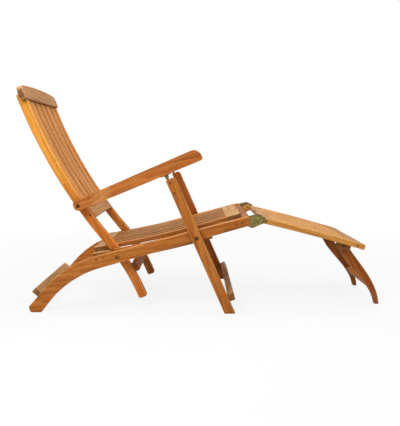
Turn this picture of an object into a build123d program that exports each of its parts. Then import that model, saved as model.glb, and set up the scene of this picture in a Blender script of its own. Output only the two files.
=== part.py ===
# Folding steamer deck chair in teak: back, front legs and arms fold together, the footrest hinges up
import os
from math import cos, radians, sin

from build123d import *

os.makedirs("parts", exist_ok=True)

# All sizes are millimetres: x runs to the foot end, z is up, side-view points are (x, z)
sides = ("right", "left")
lane_gap = 0.5
edge_round = 4
fit_gap = 0.05

# Lanes across the width, each from the middle plane to a piece's inner face, outward from the seat
seat_half_width = 183
seat_side_gap = 1.5
stile_lane = seat_half_width + seat_side_gap
stile_thick = 25
ledger_lane = stile_lane + stile_thick + lane_gap
ledger_thick = 21.5
rail_lane = ledger_lane + ledger_thick
rail_thick = 26
leg_lane = rail_lane + rail_thick + lane_gap
leg_thick = 26
leg_outside = leg_lane + leg_thick

# Side rail, from the rear foot to the footrest end
rail_heel_top = (-744, 23)
rail_heel = (-736, 0)
rail_toe = (-692, 0)
rail_bend_low = (-571, 152)
rail_front_low = (180, 366.5)
rail_front_top = (180, 406.5)
rail_bend_top = (-582.5, 206.5)
rail_bend_radius = 430
rail_corner_radius = 9
rail_toe_radius = 2

# Pivots of the folding frame
back_pivot = (-367, 236.5)
leg_pivot = (-38, 319)
arm_pivot = (-527, 447.5)
arm_hinge = (-158, 568)
pivot_bolt_radius = 4
bolt_head_radius = 8
bolt_head_height = 3
nut_height = 6

# Back stile: two easy curves from the headrest down past the seat
stile_top = (-755, 905)
stile_lean = 19.4
stile_depth = 37
stile_end_round = 10
stile_edge_round = 5
upper_radius = 2016
upper_turn = 20
lower_radius = 900
lower_turn = 18.2

# Back panel
headrest_above = 34
headrest_below = 32
headrest_thick = 24
headrest_half_width = 232
headrest_crown = 11
headrest_top_corner = 26
headrest_low_corner = 10
back_slat_count = 5
back_slat_gap = 10
back_slat_thick = 12
back_slat_set_back = 4
slat_seam = 0.4
lower_board_start = 508
lower_board_height = 85
lower_board_thick = 20
back_stretcher_run = 134
back_stretcher_width = 38
back_stretcher_thick = 23
stretcher_seam = 0.15

# Seat panel and what carries it
stop_gap = 0.3
stop_above_pivot = 18
stop_thick = 19
stop_width = 73
seat_rear_slope = 9.2
seat_radius = 4500
seat_turn = 8.2
seat_slat_count = 7
seat_slat_gap = 12
seat_slat_thick = 17
seat_board_thick = 18
seat_rear_board_width = 52
seat_front_board_width = 62
seat_seam = 0.1
bearer_drop = 36.1
middle_bearer_run = 340
middle_bearer_width = 44
front_bearer_back = 34
front_bearer_ahead = 30
ledger_ahead = 18
ledger_short = 141
ledger_drop = 14
ledger_depth = 48
rear_screw_run = 20
front_screw_back = 16
board_screw_sides = (-150, -50, 50, 150)
panel_round = 2.5
rear_stretcher_run = 50
rear_stretcher_width = 24
rear_stretcher_lifts = (-12, 32)

# Front legs and arms
leg_foot = (100, 0)
leg_lean = 23.5
leg_width = 41.5
leg_top_gap = 11
leg_corner_rounds = [2, 2, 16, 5]
leg_stretcher_up = 64
leg_stretcher_width = 30
leg_stretcher_thick = 25
arm_slope = 22.5
arm_length = 549
arm_below = 20
arm_rear_above = 23
arm_front_above = 31
arm_rear_radius = 18.5
arm_nose_radius = 34
arm_tip_radius = 10
arm_edge_round = 7
arm_recess = 6
arm_plan_ends = (-560, 20)
arm_plan_bends = (-480, -370)
arm_plan_round = 150
arm_plan_corner = 14
arm_rear_corner = 1
arm_overhang = 6
arm_inner_front = 233
arm_outer_rear = 240
arm_outer_front = leg_outside + arm_overhang
hinge_lane = leg_lane + leg_thick / 2
tongue_thick = 5
tongue_side = (0, 16)
tongue_length = 84
tongue_eye_radius = 6
tongue_pin_drops = (27, 71)
tongue_pin_side = 8
ear_thick = 3.5
ear_gap = 0.3
ear_root_half = 11
bracket_length = 46
bracket_width = 24
bracket_thick = 3
hinge_pin_radius = 2.5
tongue_pin_radius = 2.5

# Footrest
footrest_pivot = (220, 388)
footrest_slope = 13.2
footrest_radius = 7850
footrest_turn = 3.4
footrest_rail_thick = 24.2
footrest_rail_depth = 22
footrest_heel_run = 14
tail_reach = (8, 32)
tail_depth = 18
plate_thick = 3
footrest_lane = rail_lane - plate_thick - stop_gap - footrest_rail_thick
footrest_rear_board = (8, 62)
footrest_board_thick = 16
footrest_end_width = 62
footrest_slat_count = 5
footrest_slat_gap = 14
footrest_slat_thick = 12
footrest_slat_lift = 10
foot_leg_run = 396
foot_leg_drop = 21
foot_leg_lane = 134
foot_leg_thick = 24
foot_leg_head_radius = 17
foot_leg_head_turn = 30
block_thick = 21.6
block_half_length = 30
block_depth = 37
foot_leg_rear = ((661, 144), (708, 88), (750.5, 0))
foot_leg_front = ((705, 147), (740, 90), (767.7, 0))
foot_stretcher_middle = (727, 84)
foot_stretcher_size = (18, 30)
foot_stretcher_lean = 32
plate_corners = ((161, 366), (194, 352), (249, 376), (249, 398), (218, 413), (161, 400))
plate_round = 10
plate_screw_spots = ((168, 375), (168, 391))

# Screws, drawn with their heads flush
screw_head_radius = 4
screw_head_height = 2.5
screw_shank_radius = 2
screw_length = 32
plate_screw_length = 20
headrest_screw_length = 36
headrest_screw_runs = (9, 23)
insert_radius = 7
insert_depth = 12


def save(part, label):
    part.label = label
    export_step(part, f"parts/{label}.step")


def side_plane(side, lane, thick):
    start = lane if side == "right" else -lane - thick
    return Plane.XZ.offset(start)


def bolt_plane(sign, distance):
    return Plane(origin=(arm_pivot[0], sign * distance, arm_pivot[1]), z_dir=(0, sign, 0))


def beside(path, run, lift):
    spot = path @ min(max(run / path.length, 0), 1)
    way = path % min(max(run / path.length, 0), 1)
    past = min(run, 0) + max(run - path.length, 0)
    return (spot.X + way.X * past - way.Y * lift, spot.Y + way.Y * past + way.X * lift)


def outline_edge(path, lift):
    runs = (0, path.length / 2, path.length)
    return ThreePointArc(*(beside(path, run, lift) for run in runs))


def outline_band(path, run_start, run_end, lift_low, lift_high):
    run_middle = (run_start + run_end) / 2
    low = ThreePointArc(*(beside(path, run, lift_low) for run in (run_start, run_middle, run_end)))
    high = ThreePointArc(*(beside(path, run, lift_high) for run in (run_end, run_middle, run_start)))
    Line(low @ 1, high @ 0)
    Line(high @ 1, low @ 0)


def outline_block(path, run_start, run_end, lift_low, lift_high):
    corners = [beside(path, run_start, lift_low), beside(path, run_end, lift_low)]
    corners += [beside(path, run_end, lift_high), beside(path, run_start, lift_high)]
    Polyline(*corners, close=True)


def side_edges(piece):
    edges = ShapeList()
    for face in piece.faces().filter_by(Axis.Y):
        edges += face.outer_wire().edges()
    return edges


def fit_screws(planes, length, mode):
    top = (Align.CENTER, Align.CENTER, Align.MAX)
    with Locations(*planes):
        Cylinder(screw_head_radius, screw_head_height, align=top, mode=mode)
        Cylinder(screw_shank_radius, length, align=top, mode=mode)


def screw_planes(path, run, lift, distances):
    spot = beside(path, run, lift)
    way = path % (run / path.length)
    return [Plane(origin=(spot[0], distance, spot[1]), z_dir=(-way.Y, 0, way.X)) for distance in distances]


def cross_bolts(point, head_face, end_face, nut_face=None):
    bottom = (Align.CENTER, Align.CENTER, Align.MIN)
    for side in (-1, 1):
        outward = Plane(origin=(point[0], side * head_face, point[1]), z_dir=(0, side, 0))
        inward = Plane(origin=(point[0], side * head_face, point[1]), z_dir=(0, -side, 0))
        with Locations(inward):
            Cylinder(pivot_bolt_radius, head_face - end_face, align=bottom)
        with Locations(outward):
            Cylinder(bolt_head_radius, bolt_head_height, align=bottom)
        if nut_face:
            with Locations(inward.offset(head_face - nut_face)):
                Cylinder(bolt_head_radius, nut_height, align=bottom)


stile_way = (sin(radians(stile_lean)), -cos(radians(stile_lean)))
upper_path = JernArc(stile_top, stile_way, upper_radius, upper_turn)
lower_path = JernArc(upper_path @ 1, upper_path % 1, lower_radius, -lower_turn)
half_stile = stile_depth / 2
stile_outside = stile_lane + stile_thick

# The stop rail stands just behind the stiles, above their pivot, and fixes where the seat begins
pivot_run = (upper_path @ 1 - Vector(*back_pivot)).length
stop_low_front = beside(lower_path, pivot_run - stop_above_pivot, -half_stile - stop_gap)
stop_top_front = beside(lower_path, pivot_run - stop_above_pivot - stop_thick, -half_stile - stop_gap)
seat_way = (cos(radians(seat_rear_slope)), sin(radians(seat_rear_slope)))
stop_top_back = (stop_top_front[0] - stop_width * seat_way[0], stop_top_front[1] - stop_width * seat_way[1])
stop_low_back = (stop_low_front[0] - stop_width * seat_way[0], stop_low_front[1] - stop_width * seat_way[1])
rear_rise = seat_board_thick + seat_seam
seat_rear = (stop_top_back[0] - rear_rise * seat_way[1], stop_top_back[1] + rear_rise * seat_way[0])
seat_path = JernArc(seat_rear, seat_way, seat_radius, seat_turn)
seat_length = seat_path.length

# Screws that cross from one piece into the next
headrest_front = Vector(cos(radians(stile_lean)), 0, sin(radians(stile_lean)))
headrest_plane = Plane(origin=(stile_top[0], 0, stile_top[1]), x_dir=(0, 1, 0), z_dir=headrest_front)
headrest_screw_planes = {}
plate_screw_planes = {}
for side, sign in zip(sides, (-1, 1)):
    across = sign * (stile_lane + stile_thick / 2)
    front_plane = headrest_plane.offset(headrest_thick)
    spots = [front_plane.from_local_coords((across, -run)) for run in headrest_screw_runs]
    headrest_screw_planes[side] = [Plane(origin=spot, z_dir=headrest_front) for spot in spots]
    inner_face = sign * (rail_lane - plate_thick)
    places = [(spot[0], inner_face, spot[1]) for spot in plate_screw_spots]
    plate_screw_planes[side] = [Plane(origin=place, z_dir=(0, -sign, 0)) for place in places]

# Side rails with their bolt holes
for side in sides:
    with BuildPart() as side_rail:
        with BuildSketch(side_plane(side, rail_lane, rail_thick)):
            with BuildLine():
                foot = [rail_heel_top, rail_heel, rail_toe, rail_bend_low]
                front = [rail_front_low, rail_front_top, rail_bend_top]
                rounds = [rail_corner_radius, rail_corner_radius, rail_toe_radius, rail_bend_radius]
                rounds += [rail_corner_radius, rail_corner_radius, rail_bend_radius]
                FilletPolyline(*foot, *front, radius=rounds, close=True)
            make_face()
            with Locations(back_pivot, leg_pivot):
                Circle(pivot_bolt_radius + fit_gap, mode=Mode.SUBTRACT)
        extrude(amount=rail_thick)
        fillet(side_edges(side_rail), edge_round)
        fit_screws(plate_screw_planes[side], plate_screw_length, Mode.SUBTRACT)
    save(side_rail.part, f"side_rail_{side}")

# Ledgers along the rails' inner faces carry the middle bearer and stiffen both pivots
for side in sides:
    with BuildPart() as seat_ledger:
        with BuildSketch(side_plane(side, ledger_lane, ledger_thick)):
            with BuildLine():
                ledger_runs = (stop_width + ledger_ahead, seat_length - ledger_short)
                outline_band(seat_path, *ledger_runs, -ledger_drop - ledger_depth, -ledger_drop)
            make_face()
            with Locations(back_pivot, leg_pivot):
                Circle(pivot_bolt_radius, mode=Mode.SUBTRACT)
        extrude(amount=ledger_thick)
    save(seat_ledger.part, f"seat_ledger_{side}")

# Cross pieces of the seat frame
foot_edge = Line(rail_heel_top, rail_bend_top)
stretcher_half = rail_lane - seat_seam
with BuildPart() as rear_stretcher:
    with BuildSketch(Plane.XZ.offset(-stretcher_half)):
        with BuildLine():
            stretcher_runs = (rear_stretcher_run, rear_stretcher_run + rear_stretcher_width)
            outline_block(foot_edge, *stretcher_runs, *rear_stretcher_lifts)
        make_face()
    extrude(amount=2 * stretcher_half)
    fillet(rear_stretcher.edges().filter_by(Axis.Y), edge_round)
save(rear_stretcher.part, "rear_stretcher")

rear_screws = screw_planes(seat_path, rear_screw_run, 0, board_screw_sides)
front_screws = screw_planes(seat_path, seat_length - front_screw_back, 0, board_screw_sides)
seat_slat_width = (2 * seat_half_width - (seat_slat_count - 1) * seat_slat_gap) / seat_slat_count
seat_slat_pitch = seat_slat_width + seat_slat_gap
first_slat = -seat_half_width + seat_slat_width / 2
seat_slat_sides = [first_slat + number * seat_slat_pitch for number in range(seat_slat_count)]
slat_screws = screw_planes(seat_path, middle_bearer_run, 0, seat_slat_sides)

with BuildPart() as back_stop_rail:
    with BuildSketch(Plane.XZ.offset(-rail_lane)):
        with BuildLine():
            Polyline(stop_low_back, stop_low_front, stop_top_front, stop_top_back, close=True)
        make_face()
    extrude(amount=2 * rail_lane)
    fit_screws(rear_screws, screw_length, Mode.SUBTRACT)
save(back_stop_rail.part, "back_stop_rail")

bearer_half = ledger_lane - seat_seam
with BuildPart() as seat_middle_bearer:
    with BuildSketch(Plane.XZ.offset(-bearer_half)):
        with BuildLine():
            half_run = middle_bearer_width / 2
            bearer_runs = (middle_bearer_run - half_run, middle_bearer_run + half_run)
            outline_block(seat_path, *bearer_runs, -bearer_drop, -seat_slat_thick - seat_seam)
        make_face()
    extrude(amount=2 * bearer_half)
    fit_screws(slat_screws, screw_length, Mode.SUBTRACT)
save(seat_middle_bearer.part, "seat_middle_bearer")

front_bearer_half = rail_lane - plate_thick - seat_seam
with BuildPart() as seat_front_bearer:
    with BuildSketch(Plane.XZ.offset(-front_bearer_half)):
        with BuildLine():
            bearer_runs = (seat_length - front_bearer_back, seat_length + front_bearer_ahead)
            outline_block(seat_path, *bearer_runs, -bearer_drop, -seat_board_thick - seat_seam)
        make_face()
    extrude(amount=2 * front_bearer_half)
    fit_screws(front_screws, screw_length, Mode.SUBTRACT)
save(seat_front_bearer.part, "seat_front_bearer")

# Seat panel: two end boards with lengthwise slats between them, dished a little
seat_boards = {
    "seat_rear_board": (0, seat_rear_board_width, rear_screws),
    "seat_front_board": (seat_length - seat_front_board_width, seat_length, front_screws),
}
for label, (run_start, run_end, planes) in seat_boards.items():
    with BuildPart() as seat_board:
        with BuildSketch(Plane.XZ.offset(-seat_half_width)):
            with BuildLine():
                outline_band(seat_path, run_start, run_end, -seat_board_thick, 0)
            make_face()
        extrude(amount=2 * seat_half_width)
        fillet(seat_board.edges().filter_by(Axis.Y).group_by(Axis.Z)[-1], panel_round)
        fit_screws(planes, screw_length, Mode.SUBTRACT)
    save(seat_board.part, label)

for number, middle in enumerate(seat_slat_sides, 1):
    with BuildPart() as seat_slat:
        with BuildSketch(Plane.XZ.offset(-middle - seat_slat_width / 2)):
            with BuildLine():
                slat_runs = (seat_rear_board_width, seat_length - seat_front_board_width)
                outline_band(seat_path, *slat_runs, -seat_slat_thick, 0)
            make_face()
        extrude(amount=seat_slat_width)
        fillet(side_edges(seat_slat).group_by(SortBy.LENGTH)[-1], panel_round)
        fit_screws([slat_screws[number - 1]], screw_length, Mode.SUBTRACT)
    save(seat_slat.part, f"seat_slat_{number}")

with BuildPart() as seat_screws:
    fit_screws(rear_screws + slat_screws + front_screws, screw_length, Mode.ADD)
save(seat_screws.part, "seat_screws")

# Brass plates carry the footrest on the rails' inner faces
plate_lane = rail_lane - plate_thick
for side in sides:
    with BuildPart() as footrest_plate:
        with BuildSketch(side_plane(side, plate_lane, plate_thick)):
            with BuildLine():
                FilletPolyline(*plate_corners, radius=plate_round, close=True)
            make_face()
            with Locations(footrest_pivot):
                Circle(pivot_bolt_radius, mode=Mode.SUBTRACT)
        extrude(amount=plate_thick)
        fit_screws(plate_screw_planes[side], plate_screw_length, Mode.SUBTRACT)
    save(footrest_plate.part, f"footrest_plate_{side}")

with BuildPart() as plate_screws:
    fit_screws(plate_screw_planes["right"] + plate_screw_planes["left"], plate_screw_length, Mode.ADD)
save(plate_screws.part, "plate_screws")

with BuildPart() as footrest_pivot_pins:
    cross_bolts(footrest_pivot, rail_lane, footrest_lane)
save(footrest_pivot_pins.part, "footrest_pivot_pins")

with BuildPart() as back_pivot_bolts:
    cross_bolts(back_pivot, rail_lane + rail_thick, stile_lane - lane_gap, stile_lane - lane_gap)
save(back_pivot_bolts.part, "back_pivot_bolts")

with BuildPart() as leg_pivot_bolts:
    cross_bolts(leg_pivot, leg_outside + stop_gap, ledger_lane, ledger_lane)
save(leg_pivot_bolts.part, "leg_pivot_bolts")

# Back stiles, halved at the top for the headrest
headrest_edge = Line(upper_path @ 0, upper_path @ 0 + (upper_path % 0) * headrest_below)
for side, sign in zip(sides, (-1, 1)):
    with BuildPart() as back_stile:
        with BuildSketch(side_plane(side, stile_lane, stile_thick)) as stile_face:
            with BuildLine():
                front_up = outline_edge(upper_path, half_stile)
                front_low = outline_edge(lower_path, half_stile)
                rear_up = outline_edge(upper_path, -half_stile)
                rear_low = outline_edge(lower_path, -half_stile)
                Line(front_up @ 0, rear_up @ 0)
                Line(front_low @ 1, rear_low @ 1)
            make_face()
            fillet(stile_face.vertices().sort_by(Axis.Y)[:2], stile_end_round)
            fillet(stile_face.vertices().sort_by(Axis.X)[0], stile_end_round)
            with Locations(back_pivot):
                Circle(pivot_bolt_radius + fit_gap, mode=Mode.SUBTRACT)
        extrude(amount=stile_thick)
        fillet(side_edges(back_stile), stile_edge_round)
        with BuildSketch(side_plane(side, stile_lane, stile_thick)):
            with BuildLine():
                outline_block(headrest_edge, -headrest_above, headrest_below, 0, stile_depth)
            make_face()
        extrude(amount=stile_thick, mode=Mode.SUBTRACT)
        with BuildSketch(bolt_plane(sign, stile_outside)):
            Circle(insert_radius)
        extrude(amount=-insert_depth, mode=Mode.SUBTRACT)
        fit_screws(headrest_screw_planes[side], headrest_screw_length, Mode.SUBTRACT)
    save(back_stile.part, f"back_stile_{side}")

with BuildPart() as arm_bolt_inserts:
    for sign in (-1, 1):
        with BuildSketch(bolt_plane(sign, stile_outside)):
            Circle(insert_radius)
        extrude(amount=-insert_depth)
save(arm_bolt_inserts.part, "arm_bolt_inserts")

all_headrest_screws = headrest_screw_planes["right"] + headrest_screw_planes["left"]
with BuildPart() as headrest_board:
    with BuildSketch(headrest_plane) as headrest_face:
        with BuildLine():
            shoulder = headrest_above - headrest_crown
            sides_up = [(headrest_half_width, shoulder), (headrest_half_width, -headrest_below)]
            sides_up += [(-headrest_half_width, -headrest_below), (-headrest_half_width, shoulder)]
            Polyline(*sides_up)
            ThreePointArc(sides_up[-1], (0, headrest_above), sides_up[0])
        make_face()
        fillet(headrest_face.vertices().sort_by(Axis.Y)[:2], headrest_low_corner)
        fillet(headrest_face.vertices().sort_by(Axis.Y)[-2:], headrest_top_corner)
    extrude(amount=headrest_thick)
    fillet(headrest_board.faces().sort_by(Axis.X)[-1].outer_wire().edges(), edge_round)
    fit_screws(all_headrest_screws, headrest_screw_length, Mode.SUBTRACT)
save(headrest_board.part, "headrest_board")

with BuildPart() as headrest_screws:
    fit_screws(all_headrest_screws, headrest_screw_length, Mode.ADD)
save(headrest_screws.part, "headrest_screws")

# Back slats run from the headrest's lower edge to the lower board
back_slat_width = (2 * stile_lane - (back_slat_count + 1) * back_slat_gap) / back_slat_count
back_slat_front = half_stile - back_slat_set_back
for number in range(1, back_slat_count + 1):
    slat_edge = stile_lane - number * (back_slat_gap + back_slat_width)
    with BuildPart() as back_slat:
        with BuildSketch(Plane.XZ.offset(slat_edge)):
            with BuildLine():
                slat_lifts = (back_slat_front - back_slat_thick, back_slat_front)
                outline_band(upper_path, headrest_below + slat_seam, lower_board_start, *slat_lifts)
            make_face()
        extrude(amount=back_slat_width)
        fillet(side_edges(back_slat).group_by(SortBy.LENGTH)[-1], panel_round)
    save(back_slat.part, f"back_slat_{number}")

with BuildPart() as back_lower_board:
    with BuildSketch(Plane.XZ.offset(-stile_lane)):
        with BuildLine():
            board_runs = (lower_board_start, lower_board_start + lower_board_height)
            outline_band(upper_path, *board_runs, half_stile - lower_board_thick, half_stile)
        make_face()
    extrude(amount=2 * stile_lane)
    fillet(back_lower_board.edges().filter_by(Axis.Y), panel_round)
save(back_lower_board.part, "back_lower_board")

with BuildPart() as back_lower_stretcher:
    with BuildSketch(Plane.XZ.offset(-stile_outside)):
        with BuildLine():
            stretcher_runs = (back_stretcher_run, back_stretcher_run + back_stretcher_width)
            front_lift = half_stile + stretcher_seam
            outline_block(lower_path, *stretcher_runs, front_lift, front_lift + back_stretcher_thick)
        make_face()
    extrude(amount=2 * stile_outside)
    fillet(back_lower_stretcher.edges().filter_by(Axis.Y), edge_round)
save(back_lower_stretcher.part, "back_lower_stretcher")

# Front legs cross outside the rails, with a brass tongue let into each top
leg_way = Vector(-sin(radians(leg_lean)), cos(radians(leg_lean)))
hinge_run = (Vector(*arm_hinge) - Vector(*leg_foot)).dot(leg_way)
leg_length = hinge_run - leg_top_gap
leg_path = Line(leg_foot, Vector(*leg_foot) + leg_way * leg_length)
half_leg = leg_width / 2
foot_half = half_leg / cos(radians(leg_lean))
tongue_runs = (hinge_run - tongue_length, leg_length)
hinge_side = (Vector(*arm_hinge) - Vector(*leg_foot)).dot(Vector(-leg_way.Y, leg_way.X))
eye_low = beside(leg_path, hinge_run, hinge_side - tongue_eye_radius)
eye_high = beside(leg_path, hinge_run, hinge_side + tongue_eye_radius)
tongue_pin_spots = [beside(leg_path, hinge_run - drop, tongue_pin_side) for drop in tongue_pin_drops]
tongue_lane = hinge_lane - tongue_thick / 2
for side in sides:
    with BuildPart() as front_leg:
        with BuildSketch(side_plane(side, leg_lane, leg_thick)):
            with BuildLine():
                feet = [(leg_foot[0] - foot_half, 0), (leg_foot[0] + foot_half, 0)]
                tops = [beside(leg_path, leg_length, -half_leg), beside(leg_path, leg_length, half_leg)]
                FilletPolyline(*feet, *tops, radius=leg_corner_rounds, close=True)
            make_face()
            with Locations(leg_pivot):
                Circle(pivot_bolt_radius + fit_gap, mode=Mode.SUBTRACT)
            with Locations(*tongue_pin_spots):
                Circle(tongue_pin_radius, mode=Mode.SUBTRACT)
        extrude(amount=leg_thick)
        fillet(side_edges(front_leg), edge_round)
        with BuildSketch(side_plane(side, tongue_lane, tongue_thick)):
            with BuildLine():
                outline_block(leg_path, *tongue_runs, *tongue_side)
            make_face()
        extrude(amount=tongue_thick, mode=Mode.SUBTRACT)
    save(front_leg.part, f"front_leg_{side}")

with BuildPart() as leg_hinge_tongues:
    for side in sides:
        with BuildSketch(side_plane(side, tongue_lane, tongue_thick)):
            with BuildLine():
                outline_block(leg_path, *tongue_runs, *tongue_side)
            make_face()
            with BuildLine():
                neck_low = beside(leg_path, leg_length, tongue_side[0] + tongue_eye_radius)
                neck_high = beside(leg_path, leg_length, tongue_side[1])
                Polyline(neck_low, neck_high, eye_high, eye_low, close=True)
            make_face()
            with Locations(arm_hinge):
                Circle(tongue_eye_radius)
                Circle(hinge_pin_radius + fit_gap, mode=Mode.SUBTRACT)
            with Locations(*tongue_pin_spots):
                Circle(tongue_pin_radius, mode=Mode.SUBTRACT)
        extrude(amount=tongue_thick)
save(leg_hinge_tongues.part, "leg_hinge_tongues")

with BuildPart() as leg_tongue_pins:
    for side in sides:
        with BuildSketch(side_plane(side, leg_lane, leg_thick)):
            with Locations(*tongue_pin_spots):
                Circle(tongue_pin_radius)
        extrude(amount=leg_thick)
save(leg_tongue_pins.part, "leg_tongue_pins")

with BuildPart() as front_leg_stretcher:
    with BuildSketch(Plane.XZ.offset(-leg_outside)):
        with BuildLine():
            half_run = leg_stretcher_width / 2
            stretcher_runs = (leg_stretcher_up - half_run, leg_stretcher_up + half_run)
            outline_block(leg_path, *stretcher_runs, -half_leg - leg_stretcher_thick, -half_leg)
        make_face()
    extrude(amount=2 * leg_outside)
    fillet(front_leg_stretcher.edges().filter_by(Axis.Y), edge_round)
save(front_leg_stretcher.part, "front_leg_stretcher")

# Arms: narrow where they lap the stiles, broad over the front legs
arm_way = Vector(cos(radians(arm_slope)), sin(radians(arm_slope)))
arm_path = Line(arm_pivot, Vector(*arm_pivot) + arm_way * arm_length)
arm_inner_rear = stile_outside + stop_gap
arm_head_face = arm_outer_rear - arm_recess
for side, sign in zip(sides, (-1, 1)):
    with BuildPart() as armrest:
        with BuildSketch(side_plane(side, arm_inner_rear, arm_outer_front - arm_inner_rear)):
            with BuildLine():
                lows = [beside(arm_path, run, -arm_below) for run in (-arm_rear_radius, arm_length)]
                highs = [beside(arm_path, arm_length, arm_front_above)]
                highs += [beside(arm_path, -arm_rear_radius, arm_rear_above)]
                rounds = [arm_rear_radius, arm_tip_radius, arm_nose_radius, arm_rear_radius]
                FilletPolyline(*lows, *highs, radius=rounds, close=True)
            make_face()
            with Locations(arm_pivot):
                Circle(pivot_bolt_radius, mode=Mode.SUBTRACT)
        extrude(amount=arm_outer_front - arm_inner_rear)
        with BuildSketch(Plane.XY):
            with BuildLine():
                inner_edge = [(arm_plan_ends[0], arm_inner_rear), (arm_plan_bends[0], arm_inner_rear)]
                inner_edge += [(arm_plan_bends[1], arm_inner_front), (arm_plan_ends[1], arm_inner_front)]
                outer_edge = [(arm_plan_ends[1], arm_outer_front), (arm_plan_bends[1], arm_outer_front)]
                outer_edge += [(arm_plan_bends[0], arm_outer_rear), (arm_plan_ends[0], arm_outer_rear)]
                plan = [(x, sign * y) for x, y in inner_edge + outer_edge]
                rounds = [arm_rear_corner, arm_plan_round, arm_plan_round, arm_plan_corner]
                FilletPolyline(*plan, radius=rounds + rounds[::-1], close=True)
            make_face()
        extrude(amount=stile_top[1], mode=Mode.INTERSECT)
        flanks = armrest.faces().filter_by(Axis.Y).group_by(SortBy.AREA)[-1]
        fillet([flank.edges().sort_by(SortBy.LENGTH)[-1] for flank in flanks], arm_edge_round)
        with BuildSketch(bolt_plane(sign, arm_head_face)):
            Circle(bolt_head_radius + stop_gap)
        extrude(amount=arm_recess, mode=Mode.SUBTRACT)
    save(armrest.part, f"armrest_{side}")

with BuildPart() as arm_bolts:
    cross_bolts(arm_pivot, arm_head_face, arm_inner_rear)
save(arm_bolts.part, "arm_bolts")

# Brass brackets under the arms hold the leg tongues on a pin
bracket_middle = (Vector(*arm_hinge) - Vector(*arm_pivot)).dot(arm_way)
hinge_drop = (Vector(*arm_hinge) - Vector(*arm_pivot)).dot(Vector(-arm_way.Y, arm_way.X))
ear_lanes = (tongue_lane - ear_gap - ear_thick, tongue_lane + tongue_thick + ear_gap)
with BuildPart() as arm_hinge_brackets:
    for side in sides:
        with BuildSketch(side_plane(side, hinge_lane - bracket_width / 2, bracket_width)):
            with BuildLine():
                bracket_runs = (bracket_middle - bracket_length / 2, bracket_middle + bracket_length / 2)
                outline_block(arm_path, *bracket_runs, -arm_below - bracket_thick, -arm_below)
            make_face()
        extrude(amount=bracket_width)
        for lane in ear_lanes:
            with BuildSketch(side_plane(side, lane, ear_thick)):
                with BuildLine():
                    ear = [(ear_root_half, -arm_below), (-ear_root_half, -arm_below)]
                    ear += [(-tongue_eye_radius, hinge_drop), (tongue_eye_radius, hinge_drop)]
                    Polyline(*(beside(arm_path, bracket_middle + run, lift) for run, lift in ear), close=True)
                make_face()
                with Locations(arm_hinge):
                    Circle(tongue_eye_radius)
                    Circle(hinge_pin_radius, mode=Mode.SUBTRACT)
            extrude(amount=ear_thick)
save(arm_hinge_brackets.part, "arm_hinge_brackets")

with BuildPart() as arm_hinge_pins:
    for side in sides:
        with BuildSketch(side_plane(side, ear_lanes[0], ear_lanes[1] + ear_thick - ear_lanes[0])):
            with Locations(arm_hinge):
                Circle(hinge_pin_radius)
        extrude(amount=ear_lanes[1] + ear_thick - ear_lanes[0])
save(arm_hinge_pins.part, "arm_hinge_pins")

# Footrest panel: side rails with tails that bear up under the seat's front bearer
footrest_way = (cos(radians(footrest_slope)), -sin(radians(footrest_slope)))
footrest_path = JernArc(footrest_pivot, footrest_way, footrest_radius, -footrest_turn)
footrest_length = footrest_path.length
half_rail = footrest_rail_depth / 2
foot_leg_pivot = beside(footrest_path, foot_leg_run, -foot_leg_drop)
tail_lift = -bearer_drop - stop_gap
for side in sides:
    with BuildPart() as footrest_rail:
        with BuildSketch(side_plane(side, footrest_lane, footrest_rail_thick)):
            with BuildLine():
                runs = (footrest_length, footrest_length / 2, 0)
                top = ThreePointArc(*(beside(footrest_path, run, half_rail) for run in runs))
                runs = (footrest_heel_run, footrest_length / 2, footrest_length)
                low = ThreePointArc(*(beside(footrest_path, run, -half_rail) for run in runs))
                Line(low @ 1, top @ 0)
                tail_top = [beside(seat_path, seat_length + reach, tail_lift) for reach in tail_reach[::-1]]
                tail_low = beside(seat_path, seat_length + tail_reach[0], tail_lift - tail_depth)
                Polyline(top @ 1, *tail_top, tail_low, low @ 0)
            make_face()
            with Locations(footrest_pivot):
                Circle(pivot_bolt_radius + fit_gap, mode=Mode.SUBTRACT)
        extrude(amount=footrest_rail_thick)
        fillet(side_edges(footrest_rail).group_by(SortBy.LENGTH)[-1], panel_round)
    save(footrest_rail.part, f"footrest_rail_{side}")

slat_low = footrest_slat_lift - footrest_slat_thick
footrest_boards = {
    "footrest_rear_board": (*footrest_rear_board, half_rail - footrest_board_thick),
    "footrest_end_rail": (footrest_length - footrest_end_width, footrest_length, slat_low),
}
for label, (run_start, run_end, board_low) in footrest_boards.items():
    with BuildPart() as footrest_board:
        with BuildSketch(Plane.XZ.offset(-footrest_lane)):
            with BuildLine():
                outline_band(footrest_path, run_start, run_end, board_low, half_rail)
            make_face()
        extrude(amount=2 * footrest_lane)
        fillet(footrest_board.edges().filter_by(Axis.Y), panel_round)
    save(footrest_board.part, label)

slat_room = 2 * footrest_lane - (footrest_slat_count + 1) * footrest_slat_gap
footrest_slat_width = slat_room / footrest_slat_count
for number in range(1, footrest_slat_count + 1):
    slat_edge = footrest_lane - number * (footrest_slat_gap + footrest_slat_width)
    with BuildPart() as footrest_slat:
        with BuildSketch(Plane.XZ.offset(slat_edge)):
            with BuildLine():
                slat_runs = (footrest_rear_board[1], footrest_length - footrest_end_width)
                outline_band(footrest_path, *slat_runs, slat_low, footrest_slat_lift)
            make_face()
        extrude(amount=footrest_slat_width)
        fillet(side_edges(footrest_slat).group_by(SortBy.LENGTH)[-1], panel_round)
    save(footrest_slat.part, f"footrest_slat_{number}")

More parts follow.
